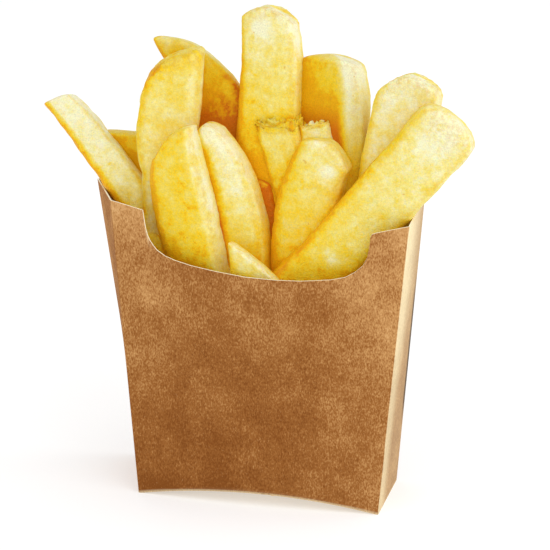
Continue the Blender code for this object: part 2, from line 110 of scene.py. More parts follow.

# The fries as in the CAD: spine points, widths, thickness, turn in degrees, slant and corner drops of
# the end, ridge (place and height), rounding of the end, length below the foot, and tone of the crust; the
# high tones of crescent_back, right_shoulder, left_back and inner_middle are painted shade.
FRIES = {
    "left_lean": dict(
        foot=(-41.4, 3.6, 85.6), middle=(-58.3, 9.6, 104.0), tip=(-69.8, 12.8, 114.7),
        widths=(11.6, 10.1, 7.9), thick=(10.5, 8.5), turn=-14, slant=-1.6,
        drops=(-0.4, 0.7), ridge=(-0.2, 0.6), cap=2.2, root=30, tone=0.2),
    "left_back": dict(
        foot=(-45.8, 12.2, 88.0), middle=(-48.4, 13.0, 96.6), tip=(-49.6, 14.0, 104.8),
        widths=(14.0, 15.5, 16.0), thick=(8.5, 7.5), turn=0, slant=-0.4,
        drops=(0.0, 0.0), ridge=(0.0, 0.0), cap=1.6, root=34, tone=0.72),
    "crescent_back": dict(
        foot=(-18.1, 11.4, 102.6), middle=(-20.2, 14.0, 115.7), tip=(-33.1, 16.4, 133.8),
        widths=(19.3, 18.7, 10.0), thick=(8.0, 6.8), turn=-10, slant=-4.9,
        drops=(-0.5, 1.6), ridge=(0.0, 0.0), cap=2.0, root=40, tone=0.86),
    "left_tall": dict(
        foot=(-33.2, 2.0, 98.0), middle=(-32.6, 3.8, 112.8), tip=(-30.2, 5.5, 131.6),
        widths=(14.2, 18.5, 15.1), thick=(10.0, 8.0), turn=-12, slant=3.4,
        drops=(2.8, -0.5), ridge=(0.55, 1.4), cap=2.6, root=38, tone=0.35),
    "front_left": dict(
        foot=(-20.5, -6.4, 73.6), middle=(-25.9, -6.8, 96.7), tip=(-27.1, -6.2, 112.1),
        widths=(18.1, 18.0, 11.0), thick=(8.5, 7.0), turn=2, slant=3.6,
        drops=(5.0, 0.2), ridge=(0.7, 2.2), cap=3.6, root=12, tone=0.52),
    "middle_left": dict(
        foot=(-8.7, -1.0, 72.6), middle=(-11.7, 0.5, 93.6), tip=(-18.9, 2.0, 111.7),
        widths=(17.2, 15.4, 7.5), thick=(9.0, 7.5), turn=8, slant=-1.2,
        drops=(2.3, 1.6), ridge=(-0.5, 3.0), cap=3.8, root=18, tone=0.33),
    "tall_middle": dict(
        foot=(-4.7, 9.0, 96.1), middle=(-2.7, 11.8, 125.3), tip=(-4.8, 15.2, 146.0),
        widths=(19.2, 18.4, 16.2), thick=(10.0, 8.5), turn=7, slant=0.2,
        drops=(0.5, 5.8), ridge=(0.0, 0.0), cap=3.2, root=36, tone=0.4),
    "ragged_middle": dict(
        foot=(8.4, 5.1, 91.6), middle=(4.4, 5.7, 101.6), tip=(0.9, 6.3, 113.8),
        widths=(15.9, 13.1, 13.1), thick=(8.5, 7.5), turn=10, slant=-1.1,
        drops=(0.2, -0.3), ridge=(0.0, 0.0), cap=1.6, root=34, tone=0.38),
    "stub_middle": dict(
        foot=(16.1, 6.4, 93.0), middle=(13.5, 7.0, 105.1), tip=(11.6, 7.6, 113.9),
        widths=(12.1, 10.6, 9.6), thick=(8.0, 7.0), turn=-6, slant=-0.2,
        drops=(0.4, -0.4), ridge=(0.0, 0.0), cap=1.6, root=34, tone=0.18),
    "inner_middle": dict(
        foot=(-3.0, 3.4, 62.0), middle=(-3.8, 4.0, 80.0), tip=(-5.4, 4.8, 96.0),
        widths=(12.0, 11.0, 9.0), thick=(6.0, 5.5), turn=0, slant=-0.6,
        drops=(0.6, 0.6), ridge=(0.0, 0.0), cap=1.6, root=8, tone=0.98),
    "right_shoulder": dict(
        foot=(15.4, 11.4, 99.6), middle=(15.0, 13.4, 118.0), tip=(14.9, 15.4, 132.2),
        widths=(23.6, 24.0, 19.4), thick=(9.5, 8.5), turn=12, slant=0.3,
        drops=(0.6, 2.0), ridge=(0.5, 2.2), cap=3.2, root=38, tone=0.78),
    "front_right": dict(
        foot=(10.4, 0.6, 72.9), middle=(12.1, 1.4, 95.0), tip=(18.3, 2.0, 109.0),
        widths=(19.9, 18.3, 16.3), thick=(10.5, 8.0), turn=6, slant=0.1,
        drops=(5.1, 1.2), ridge=(-0.5, 1.0), cap=3.4, root=18, tone=0.44),
    "right_lean": dict(
        foot=(28.3, 5.6, 83.3), middle=(36.4, 6.8, 108.4), tip=(40.6, 8.2, 129.6),
        widths=(9.2, 18.3, 18.5), thick=(10.0, 8.5), turn=6, slant=0.2,
        drops=(4.6, 3.2), ridge=(0.0, 0.0), cap=3.2, root=30, tone=0.1),
    "right_big": dict(
        foot=(17.1, -5.6, 74.9), middle=(33.4, -4.4, 93.9), tip=(53.7, -3.0, 119.2),
        widths=(17.9, 19.2, 20.0), thick=(10.5, 9.0), turn=0, slant=0.2,
        drops=(1.2, 1.8), ridge=(0.0, 0.0), cap=4.4, root=16, tone=0.4),
    "front_scrap": dict(
        foot=(0.0, -12.6, 61.4), middle=(-1.0, -12.8, 68.5), tip=(-1.6, -12.8, 76.6),
        widths=(15.5, 15.4, 15.2), thick=(5.0, 4.4), turn=0, slant=-6.0,
        drops=(0.1, 0.6), ridge=(0.0, 0.0), cap=1.2, root=8, tone=0.34),
    "left_short": dict(
        foot=(-33.4, -5.4, 62.0), middle=(-35.0, -4.8, 70.5), tip=(-36.2, -4.2, 79.0),
        widths=(11.0, 11.0, 9.6), thick=(9.0, 8.0), turn=-4, slant=0.0,
        drops=(1.0, 1.0), ridge=(0.0, 0.0), cap=2.4, root=8, tone=0.6),
    "right_short": dict(
        foot=(31.0, 2.6, 62.0), middle=(34.0, 3.0, 78.0), tip=(36.6, 3.6, 94.0),
        widths=(14.0, 13.0, 10.6), thick=(12.0, 10.0), turn=4, slant=1.0,
        drops=(1.4, 1.0), ridge=(0.0, 0.0), cap=3.0, root=8, tone=0.35),
    "back_short": dict(
        foot=(29.0, 11.6, 62.0), middle=(27.4, 12.4, 80.0), tip=(26.0, 12.8, 97.0),
        widths=(13.0, 13.0, 10.6), thick=(8.0, 7.0), turn=4, slant=-0.8,
        drops=(1.0, 1.4), ridge=(0.0, 0.0), cap=2.6, root=8, tone=0.45),
    "back_left_short": dict(
        foot=(-29.0, 12.0, 62.0), middle=(-31.0, 12.4, 76.0), tip=(-33.0, 12.8, 91.0),
        widths=(14.0, 13.0, 10.6), thick=(7.5, 7.0), turn=-4, slant=1.2,
        drops=(1.6, 0.8), ridge=(0.0, 0.0), cap=2.4, root=8, tone=0.5),
    "front_right_short": dict(
        foot=(28.0, -6.6, 58.0), middle=(31.6, -6.4, 67.0), tip=(35.0, -6.0, 77.0),
        widths=(13.0, 12.6, 10.0), thick=(9.0, 8.0), turn=6, slant=0.6,
        drops=(1.0, 1.2), ridge=(0.0, 0.0), cap=2.4, root=6, tone=0.4),
}
FRY_ROUND = 56
FRY_LONG = 80
FOOT_SHARE = 0.06
SIDE_SHARE = 0.72
CAP_SHARE = 0.22
LATE_START = 0.55
SECTION_POWER = 5.0
FOOT_POWER = 4.0
TIP_POWER = 3.0
MERGE_DISTANCE = 2e-6
# Lumps of the skin, and crumbs of a ragged end: noise scale and height.
LUMPS = ((0.11, 0.42), (0.30, 0.30), (0.8, 0.12))
CRUMBS = ((0.6, 0.8), (1.4, 0.7), (2.6, 0.4))
CRUMB_OUT = 0.45
CRUMB_UP = 0.9
# How ragged the end of a fry is.
RAGGED = {
    "ragged_middle": 2.6, "stub_middle": 1.6, "left_tall": 0.5, "tall_middle": 0.4,
    "right_lean": 0.35, "right_big": 0.25,
}
TIP_PALER = 0.16
# How much paler a fry gets from its foot to its tip, where that differs from TIP_PALER.
FADES = {
    "crescent_back": 0.80, "right_shoulder": 0.60, "left_lean": 0.12, "tall_middle": 0.60,
    "left_tall": -0.38, "middle_left": 0.55, "right_big": 0.36, "right_lean": 0.0, "front_left": 0.02,
}
# Painted light and shade on side facets: where a facet starts across the fry, and how its tone differs from
# the front's.
FACET_LIGHT_AND_SHADE = {
    "right_shoulder": (0.58, -0.60), "front_left": (0.72, -0.32), "middle_left": (-0.28, 0.58),
    "left_tall": (0.55, -0.10), "tall_middle": (-0.80, 0.09), "left_lean": (-0.50, 0.38),
    "front_right": (-0.80, 0.14), "right_big": (-0.86, 0.12),
}
# Painted shade: the fries at the back are dimmer and plainer than those in front.
BACK_SHADE_FRIES = {"crescent_back": 1.0, "right_shoulder": 0.9, "left_back": 0.6, "inner_middle": 1.0}
# The tone of the backs of all fries.
HIDDEN_TONE = 0.38
# Pale places that the photo shows: along and across the fry, radius in millimetres, change of tone.
SPOTS = {
    "tall_middle": ((0.86, -0.15, 5.0, -0.40), (0.35, 0.1, 4.5, -0.12)),
    "right_big": ((0.12, 0.1, 3.2, -0.34), (0.70, 0.45, 5.0, -0.10), (0.96, 0.0, 7.5, -0.26)),
    "front_right": ((0.80, 0.45, 4.5, -0.26),),
    "middle_left": ((0.55, 0.40, 4.0, -0.14),),
    "left_tall": ((0.24, 0.05, 6.5, -0.16),),
}
EDGE_GOLD = 0.16
RIM_GOLD = 0.22
SIDE_SHADE_OFFSET = 0.31
# Painted shade: faces turned away from this light direction are more golden.
LIT_DIRECTION = (0.78, -0.32, 0.54)
LAYERS = ("crisp", "tone", "painted_side_shade", "shade", "painted_back_shade")
# How far, in metres, and with how many rays a point looks for what shuts it in.
SHADE_REACH = 0.020
SHADE_LIFT = 0.0004
SHADE_RAYS = 18
SHADE_ROUNDS = 2

# The core fills the carton below the fries that show.
CORE_TOP = 60.0
CORE_BOTTOM = 8.0
CORE_GAP = 0.8
CORE_LUMPS = 1.6
# The core is painted golden and dim throughout, as shade.
CORE_LAYERS = (("crisp", 0.0), ("tone", 0.5), ("painted_side_shade", 0.6), ("shade", 0.5), ("painted_back_shade", 1.0))

# Card colours: dark, middle and light, each for the outside and the inside.
KRAFT_OUTSIDE = ((0.215, 0.068, 0.012, 1.0), (0.325, 0.124, 0.029, 1.0), (0.575, 0.30, 0.108, 1.0))
KRAFT_INSIDE = ((0.28, 0.09, 0.014, 1.0), (0.42, 0.17, 0.040, 1.0), (0.58, 0.29, 0.095, 1.0))
OUTSIDE_GRAIN = 1.0
INSIDE_GRAIN = 0.85
# pale colour of the rubbed bottom edge and of the painted highlight on the right side
RUBBED_AND_LIT_CARD = (0.93, 0.79, 0.49, 1.0)
# colour of the painted shadow line on the right side's rear fold
FOLD_SHADOW_DARK = (0.06, 0.045, 0.035, 1.0)
CUT_EDGE = ((0.3, (0.95, 0.84, 0.62, 1.0)), (0.7, (0.99, 0.94, 0.80, 1.0)))

# Crust colours from the palest cut face to the brown of a deep slit.
FRY_RAMP = (
    (0.00, (0.88, 0.86, 0.58, 1.0)),
    (0.12, (0.87, 0.81, 0.44, 1.0)),
    (0.26, (0.86, 0.76, 0.285, 1.0)),
    (0.40, (0.85, 0.70, 0.165, 1.0)),
    (0.52, (0.85, 0.65, 0.092, 1.0)),
    (0.62, (0.86, 0.62, 0.043, 1.0)),
    (0.72, (0.88, 0.59, 0.017, 1.0)),
    (0.82, (0.86, 0.48, 0.006, 1.0)),
    (0.91, (0.79, 0.34, 0.003, 1.0)),
    (1.00, (0.66, 0.15, 0.004, 1.0)),
)
# How much each layer moves the crust along FRY_RAMP, and how far above its own tone a fry may go.
PATCH_TONE = 0.38
BLOTCH_TONE = 0.62
MOTTLE_TONE = 0.44
GRAIN_TONE = 0.20
SIDE_SHADE_TONE = 0.45
SHADE_TONE = 0.42
VEIN_TONE = 0.15
TONE_ROOM = 0.12
TONE_CAP = 0.86
BACK_SHADE_CALMER = -0.45
BACK_SHADE_DIMMER = -0.2
CRISP_SHARE = 0.6
CREVICE_GLOW_SHARE = 0.07
CRISP_BROWN = (0.68, 0.38, 0.045, 1.0)
OIL_TINT = (1.0, 0.82, 0.35, 1.0)
POTATO_SCATTER = (1.0, 0.55, 0.12)
BLACK = (0.0, 0.0, 0.0, 1.0)
PAINTED_CREVICE_GLOW = (1.0, 0.55, 0.01, 1.0)

# Lights and camera: angles in degrees, distances and sizes in metres.
SKY_STRENGTH = 0.77
FLOOR_HALF = 6.0
FLOOR_WHITE = (0.67, 0.67, 0.67, 1.0)
FLOOR_GLOW = 0.405
LIGHT_TARGET = (0.0, 0.0, 0.075)
# Name, azimuth, elevation, distance, size and watts.
LIGHTS = (
    ("key", 42.0, 44.0, 1.1, 0.8, 2.55),
    ("fill", -38.0, 24.0, 1.2, 0.9, 1.6),
    ("right_rim", 98.0, 34.0, 1.0, 0.9, 2.6),
)
CAMERA_AZIMUTH = 14.5
CAMERA_ELEVATION = 19.0
CAMERA_DISTANCE = 0.9
CAMERA_TARGET = (1.2, 0.0, 68.6)
SENSOR_WIDTH = 36.0
CAMERA_LENS = SENSOR_WIDTH * 3000.0 / 550.0


def mix(a, b, t):
    return a + (b - a) * t


def clamp(x, low=0.0, high=1.0):
    return min(max(x, low), high)


def smooth(edge_0, edge_1, x):
    """0 at the first edge, 1 at the second, with a soft start and end."""
    t = clamp((x - edge_0) / (edge_1 - edge_0))
    return t * t * (3.0 - 2.0 * t)


def place(point):
    """A point of the carton's frame, in metres, in the scene's frame."""
    return Vector((point[0] + SHIFT_X, point[1] + SHIFT_Y, point[2] - FOLD_LIFT)) * MM


def scoop_height(x):
    """Height of the front lip at x, through the points of the cut-out."""
    x = clamp(x, SCOOP[0][0], SCOOP[-1][0])
    for (x0, z0), (x1, z1) in zip(SCOOP, SCOOP[1:]):
        if x <= x1:
            return mix(z0, z1, (x - x0) / (x1 - x0))
    return SCOOP[-1][1]


def shell_point(across, deep, up, scooped=False):
    """Outer face of the card; across and deep run -1 to 1, up runs 0 to 1."""
    back = (deep + 1.0) / 2.0
    crown = 1.0 - across * across
    side = (across + 1.0) / 2.0
    base_front = mix(BASE_LEFT_X, BASE_RIGHT_X, side)
    base_back = mix(BASE_BACK_LEFT_X, BASE_BACK_RIGHT_X, side)
    mouth_front = mix(MOUTH_LEFT_X, MOUTH_RIGHT_X, side)
    mouth_back = mix(MOUTH_BACK_LEFT_X, MOUTH_BACK_RIGHT_X, side)
    base_x = mix(base_front, base_back, back)
    mouth_x = mix(mouth_front, mouth_back, back)
    back_top = mix(BACK_LEFT_HEIGHT, BACK_RIGHT_HEIGHT, side) + BACK_ARCH * crown
    full = mix(mix(FRONT_LEFT_HEIGHT, FRONT_RIGHT_HEIGHT, side), back_top, back)
    bottom = BOTTOM_RISE * crown
    rise = up
    if scooped and deep < FRONT_DEEP:
        # The lip's height depends on x and x on the height, so both are found together.
        lip = scoop_height(mouth_x * 0.985)
        for _ in range(4):
            lip = scoop_height(mix(base_x, mouth_x, (lip - bottom) / (full - bottom)))
        rise = up * (lip - bottom) / (full - bottom)
    base_front_y = mix(BASE_FRONT_LEFT_Y, BASE_FRONT_RIGHT_Y, side)
    front_y = mix(base_front_y, MOUTH_FRONT_Y, rise) - mix(FRONT_BOW_BASE, FRONT_BOW_MOUTH, rise) * crown
    back_y = mix(BASE_BACK_Y, MOUTH_BACK_Y, rise) + mix(BACK_BOW_BASE, BACK_BOW_MOUTH, rise) * crown
    return Vector((mix(base_x, mouth_x, rise), mix(front_y, back_y, back), mix(bottom, full, rise)))


def link(name, mesh, mats):
    obj = bpy.data.objects.new(name, mesh)
    bpy.context.scene.collection.objects.link(obj)
    for mat in mats:
        mesh.materials.append(mat)
    return obj


class Nodes:
    """Short names for building a node tree."""

    def __init__(self, tree):
        self.tree = tree

    def add(self, kind, **values):
        node = self.tree.nodes.new(kind)
        for key, value in values.items():
            setattr(node, key, value)
        return node

    def join(self, a, b):
        self.tree.links.new(a, b)

    def put(self, socket, value):
        if isinstance(value, bpy.types.NodeSocket):
            self.join(value, socket)
        else:
            socket.default_value = value

    def math(self, op, a, b=0.0, c=0.0, cap=False):
        node = self.add("ShaderNodeMath", operation=op, use_clamp=cap)
        for socket, value in zip(node.inputs, (a, b, c)):
            self.put(socket, value)
        return node.outputs[0]

    def noise(self, vector, scale, detail=2.0, rough=0.5, distort=0.0):
        node = self.add("ShaderNodeTexNoise")
        self.join(vector, node.inputs["Vector"])
        node.inputs["Scale"].default_value = scale
        node.inputs["Detail"].default_value = detail
        node.inputs["Roughness"].default_value = rough
        node.inputs["Distortion"].default_value = distort
        return node.outputs["Fac"]

    def span(self, value, a, b, c=0.0, d=1.0):
        node = self.add("ShaderNodeMapRange")
        self.put(node.inputs["Value"], value)
        node.inputs["From Min"].default_value = a
        node.inputs["From Max"].default_value = b
        node.inputs["To Min"].default_value = c
        node.inputs["To Max"].default_value = d
        return node.outputs["Result"]

    def blend(self, factor, a, b, mode="MIX"):
        node = self.add("ShaderNodeMix", data_type="RGBA", blend_type=mode)
        self.put(node.inputs["Factor"], factor)
        self.put(node.inputs[6], a)
        self.put(node.inputs[7], b)
        return node.outputs[2]

    def ramp(self, factor, stops):
        node = self.add("ShaderNodeValToRGB")
        self.join(factor, node.inputs["Fac"])
        while len(node.color_ramp.elements) < len(stops):
            node.color_ramp.elements.new(0.5)
        for element, (at, colour) in zip(node.color_ramp.elements, stops):
            element.position = at
            element.color = colour
        return node.outputs["Color"]

    def stretch(self, vector, scale):
        node = self.add("ShaderNodeMapping")
        self.join(vector, node.inputs["Vector"])
        node.inputs["Scale"].default_value = scale
        return node.outputs["Vector"]

    def attribute(self, name):
        return self.add("ShaderNodeAttribute", attribute_name=name).outputs["Fac"]

    def bump(self, height, strength, distance):
        node = self.add("ShaderNodeBump")
        self.put(node.inputs["Height"], height)
        node.inputs["Strength"].default_value = strength
        node.inputs["Distance"].default_value = distance
        return node.outputs["Normal"]


def new_material(name):
    """A new material with its node helper, its shader and its Object coordinates."""
    mat = bpy.data.materials.new(name)
    mat.use_nodes = True
    nodes = Nodes(mat.node_tree)
    shader = mat.node_tree.nodes["Principled BSDF"]
    coords = nodes.add("ShaderNodeTexCoord").outputs["Object"]
    return mat, nodes, shader, coords


def card_fibre_group():
    """Tone, pale flecks and relief of kraft card, for its two faces; Grain is how much its strands show."""
    tree = bpy.data.node_groups.new("card_fibres", "ShaderNodeTree")
    tree.interface.new_socket("Grain", in_out="INPUT", socket_type="NodeSocketFloat").default_value = 1.0
    for name in ("Tone", "Flecks", "Relief"):
        tree.interface.new_socket(name, in_out="OUTPUT", socket_type="NodeSocketFloat")
    n = Nodes(tree)
    grain = n.add("NodeGroupInput").outputs["Grain"]
    coords = n.add("ShaderNodeTexCoord").outputs["Object"]
    clouds = n.noise(coords, 60.0, 4.0, 0.6, 0.3)
    stains = n.noise(coords, 190.0, 2.0, 0.6)
    weave = n.noise(n.stretch(coords, (1.0, 1.0, 0.65)), 1500.0, 3.0, 0.75)
    fibres = n.noise(n.stretch(coords, (1.0, 1.0, 0.45)), 3000.0, 1.0, 0.5)
    flecks = n.noise(n.stretch(coords, (1.0, 1.0, 0.7)), 2200.0, 1.0, 0.4)
    tone = n.math("MULTIPLY_ADD", clouds, 0.8, n.math("MULTIPLY_ADD", stains, 0.36, -0.18))
    strands = n.math("SUBTRACT", n.math("ADD", weave, fibres), 1.0)
    tone = n.math("MULTIPLY_ADD", n.math("MULTIPLY", strands, 0.95), grain, tone)
    out = n.add("NodeGroupOutput")
    n.join(tone, out.inputs["Tone"])
    n.join(n.span(flecks, 0.66, 0.78, 0.0, 0.25), out.inputs["Flecks"])
    n.join(n.math("ADD", weave, n.math("MULTIPLY", fibres, 0.5)), out.inputs["Relief"])
    return tree


def kraft_material(name, fibres, grain, dark, middle, light):
    """Card colour: the fibres over painted light and shade, with the rubbed edge, a painted highlight and a
    painted shadow line on top.
    """
    mat, n, shader, _ = new_material(name)
    group = n.add("ShaderNodeGroup", node_tree=fibres)
    group.inputs["Grain"].default_value = grain
    card = group.outputs
    # painted light and shade over the card, added to its fibre tone
    tone = n.math("ADD", card["Tone"], n.attribute("painted_light"))
    tone = n.math("MULTIPLY", tone, 0.75)
    top = (light[0] * 1.25, light[1] * 1.45, light[2] * 1.8, 1.0)
    colour = n.ramp(tone, ((0.04, dark), (0.315, middle), (0.64, light), (0.95, top)))
    pale = (light[0] * 1.2, light[1] * 1.3, light[2] * 1.5, 1.0)
    colour = n.blend(card["Flecks"], colour, pale)
    worn_and_lit = n.math("MULTIPLY", n.attribute("wear_and_highlight"), n.span(card["Tone"], 0.0, 0.8, 0.72, 1.12), cap=True)
    # pale rubbed bottom edge, and the painted highlight on the right side
    colour = n.blend(worn_and_lit, colour, RUBBED_AND_LIT_CARD)
    # painted shadow line along the right side's rear fold
    colour = n.blend(n.attribute("fold_shadow"), colour, FOLD_SHADOW_DARK)
    n.join(colour, shader.inputs["Base Color"])
    shader.inputs["Roughness"].default_value = 0.82
    shader.inputs["Specular IOR Level"].default_value = 0.06
    n.join(n.bump(card["Relief"], 0.25, 0.0002), shader.inputs["Normal"])
    return mat


def cut_edge_material():
    """The pale rim where the card was cut."""
    mat, n, shader, coords = new_material("cut_card_edge")
    grain = n.noise(coords, 2200.0, 1.0)
    colour = n.ramp(grain, CUT_EDGE)
    n.join(colour, shader.inputs["Base Color"])
    shader.inputs["Roughness"].default_value = 0.9
    return mat


def potato_material():
    """Crust whose colour follows the painted layers, painted shade among them, with patches, veins, specks
    and grain on top, and a painted glow in shut-in places.
    """
    mat, n, shader, coords = new_material("fried_potato_crust")
    patches = n.noise(coords, 110.0, 2.0, 0.5, 0.5)
    blotches = n.noise(coords, 330.0, 2.0, 0.55, 0.3)
    mottle = n.noise(coords, 900.0, 2.0, 0.6)
    grain = n.noise(coords, 2600.0, 1.0, 0.6)
    painted_back_shade = n.attribute("painted_back_shade")
    shade = n.attribute("shade")
    varied = n.math("MULTIPLY", n.math("SUBTRACT", patches, 0.5), PATCH_TONE)
    varied = n.math("MULTIPLY_ADD", n.math("SUBTRACT", blotches, 0.5), BLOTCH_TONE, varied)
    varied = n.math("MULTIPLY_ADD", n.math("SUBTRACT", mottle, 0.5), MOTTLE_TONE, varied)
    varied = n.math("MULTIPLY_ADD", n.math("SUBTRACT", grain, 0.5), GRAIN_TONE, varied)
    # painted shade: the fries at the back get plainer
    varied = n.math("MULTIPLY", varied, n.math("MULTIPLY_ADD", painted_back_shade, BACK_SHADE_CALMER, 1.0))
    tone = n.attribute("tone")
    veins = n.math("ABSOLUTE", n.math("SUBTRACT", n.noise(coords, 150.0, 3.0, 0.6, 0.4), 0.5))
    veins = n.math("MULTIPLY", n.span(veins, 0.0, 0.016, 1.0, 0.0), n.span(blotches, 0.46, 0.62), cap=True)
    # painted side shade and painted shade in crevices move the crust along the ramp
    level = n.math("MULTIPLY_ADD", n.attribute("painted_side_shade"), SIDE_SHADE_TONE, tone)
    level = n.math("MULTIPLY_ADD", shade, SHADE_TONE, level)
    level = n.math("MULTIPLY_ADD", veins, VEIN_TONE, level)
    level = n.math("ADD", level, varied)
    level = n.math("MINIMUM", level, n.math("MAXIMUM", n.math("ADD", tone, TONE_ROOM), TONE_CAP))
    colour = n.ramp(level, FRY_RAMP)
    colour = n.blend(1.0, colour, n.span(grain, 0.2, 0.8, 0.87, 1.13), "MULTIPLY")
    crisp = n.span(n.noise(coords, 700.0, 3.0, 0.7), 0.44, 0.60)
    crisp = n.math("MULTIPLY", crisp, n.attribute("crisp"), cap=True)
    colour = n.blend(n.math("MULTIPLY", crisp, CRISP_SHARE), colour, CRISP_BROWN)
    specks = n.span(n.noise(coords, 760.0, 0.0), 0.83, 0.87)
    colour = n.blend(n.math("MULTIPLY", specks, CRISP_SHARE), colour, CRISP_BROWN)
    # painted shade: the fries at the back are darkened
    colour = n.blend(1.0, colour, n.math("MULTIPLY_ADD", painted_back_shade, BACK_SHADE_DIMMER, 1.0), "MULTIPLY")
    n.join(colour, shader.inputs["Base Color"])
    n.join(n.span(patches, 0.3, 0.7, 0.34, 0.52), shader.inputs["Roughness"])
    shader.inputs["Specular IOR Level"].default_value = 0.2
    shader.inputs["Specular Tint"].default_value = OIL_TINT
    shader.inputs["Subsurface Weight"].default_value = 0.25
    shader.inputs["Subsurface Radius"].default_value = POTATO_SCATTER
    shader.inputs["Subsurface Scale"].default_value = 0.003
    # painted glow: shut-in places emit warm light in step with their painted shade
    glow = n.blend(n.math("MULTIPLY", shade, CREVICE_GLOW_SHARE, cap=True), BLACK, PAINTED_CREVICE_GLOW)
    n.join(glow, shader.inputs["Emission Color"])
    shader.inputs["Emission Strength"].default_value = 1.0
    height = n.math("MULTIPLY_ADD", mottle, 0.6, n.math("MULTIPLY", grain, 0.8))
    height = n.math("MULTIPLY_ADD", blotches, 0.8, height)
    n.join(n.bump(height, 0.62, 0.0005), shader.inputs["Normal"])
    return mat


def slice_box(positions):
    """A cube from -1 to 1 cut at the given positions along each axis."""
    bm = bmesh.new()
    bmesh.ops.create_cube(bm, size=2.0)
    for axis, cuts in enumerate(positions):
        normal = [0.0, 0.0, 0.0]
        normal[axis] = 1.0
        for cut in cuts:
            at = [0.0, 0.0, 0.0]
            at[axis] = cut
            geom = bm.verts[:] + bm.edges[:] + bm.faces[:]
            bmesh.ops.bisect_plane(bm, geom=geom, plane_co=at, plane_no=normal, dist=1e-6)
    return bm


def across_cuts():
    """Where the front is sliced, so that the lip's corners fall on a slice."""
    cuts = []
    for x, z in SCOOP[1:-1]:
        rise = z / FRONT_LEFT_HEIGHT
        left = mix(BASE_LEFT_X, MOUTH_LEFT_X, rise)
        right = mix(BASE_RIGHT_X, MOUTH_RIGHT_X, rise)
        cuts.append(-1.0 + 2.0 * (x - left) / (right - left))
    for across in (-0.97, -0.93, 0.93, 0.97):
        cuts.append(across)
    cuts.sort()
    filled = [cuts[0]]
    for cut in cuts[1:]:
        steps = max(1, math.ceil((cut - filled[-1]) / CUT_STEP))
        start = filled[-1]
        filled += [mix(start, cut, k / steps) for k in range(1, steps + 1)]
    return filled


def distance_to_fold(point, across, deep):
    """How far a point is from the upright fold at the given side and depth."""
    foot = shell_point(across, deep, 0.0)
    line = shell_point(across, deep, 1.0) - foot
    t = clamp((point - foot).dot(line) / line.length_squared)
    return (point - foot - line * t).length


def card_wear_and_highlight(point, normal):
    """Pale rubbed bottom edge, and a painted highlight on the right side that grows paler towards its top.
    """
    rub = RUB * (1.0 - smooth(0.2, RUB_HEIGHT, point.z - BOTTOM_RISE * bottom_crown(point)))
    if normal.x < 0.5:
        return rub
    # from here on, the painted highlight on the right side
    near = distance_to_fold(point, 1, -1)
    reach = 13.0 + 18.0 * smooth(20.0, 85.0, point.z)
    stripe = 1.0 - smooth(2.0, reach, near)
    high = smooth(30.0, 90.0, point.z)
    return max(rub, PAINTED_HIGHLIGHT + HIGHLIGHT_STRIPE * stripe * (0.75 + 0.25 * high) + HIGHLIGHT_TOP * high)


def bottom_crown(point):
    """How far along the vault of the bottom edge a point is, 1 in the middle and 0 at the sides."""
    middle = (BASE_LEFT_X + BASE_RIGHT_X) / 2.0
    across = (point.x - middle) / ((BASE_RIGHT_X - BASE_LEFT_X) / 2.0)
    return max(1.0 - across * across, 0.0)


def card_fold_shadow(point, normal):
    """Painted shadow line where the right side's rear fold turns away, in its middle stretch."""
    if normal.x < 0.2:
        return 0.0
    near = distance_to_fold(point, 1, 1)
    tall = smooth(18.0, 28.0, point.z) * (1.0 - smooth(56.0, 70.0, point.z))
    return FOLD_SHADOW * tall * (1.0 - smooth(FOLD_SHADOW_NEAR, FOLD_SHADOW_FAR, near))


def card_painted_light(point, normal):
    """Painted light and shade over the front: palest at its top and sides, darkest low down, with painted
    shade along the bottom edge; each side gets a fixed level of painted light.
    """
    if abs(normal.x) > 0.6:
        return PAINTED_LIGHT_RIGHT_SIDE if normal.x > 0.0 else PAINTED_LIGHT_LEFT_SIDE
    x = point.x / 42.0
    z = point.z / 90.0 - 0.5
    # painted shade along the bottom edge of the front
    low = 1.0 - smooth(0.0, 9.0, point.z)
    tone = PAINTED_LIGHT_LEVEL + PAINTED_SHADE_LOW * low + PAINTED_LIGHT_X * x + PAINTED_LIGHT_XX * x * x + PAINTED_LIGHT_Z * z + PAINTED_LIGHT_XZ * x * z
    return clamp(tone, -0.35, 0.40)


